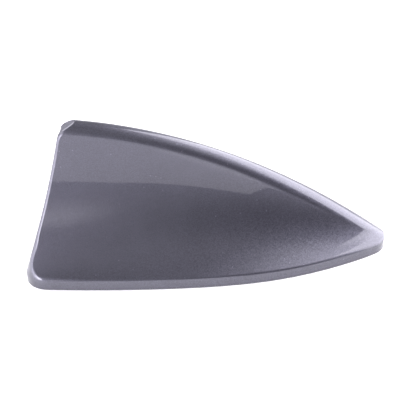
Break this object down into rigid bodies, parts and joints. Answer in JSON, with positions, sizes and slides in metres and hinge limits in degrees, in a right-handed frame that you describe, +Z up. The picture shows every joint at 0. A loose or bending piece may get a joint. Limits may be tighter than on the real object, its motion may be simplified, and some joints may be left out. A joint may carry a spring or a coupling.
{
  "type": "antenna cover",
  "caption": "Fin-shaped hollow roof antenna cover with concave flanks, a rounded ridge, a leaning rear wall and a low upright skirt, open underneath.",
  "frame": {"origin": "bottom centre of the bounding box, in the plane of the flat rim", "axes": "+X towards the low nose, +Y to the left seen from the rear, +Z up away from the roof"},
  "size_m": [0.1484, 0.064, 0.0585],
  "materials": {
    "paint": "graphite metallic paint under gloss clear coat"
  },
  "bodies": {
    "root": {"antenna_cover": "paint"}
  },
  "joints": []
}
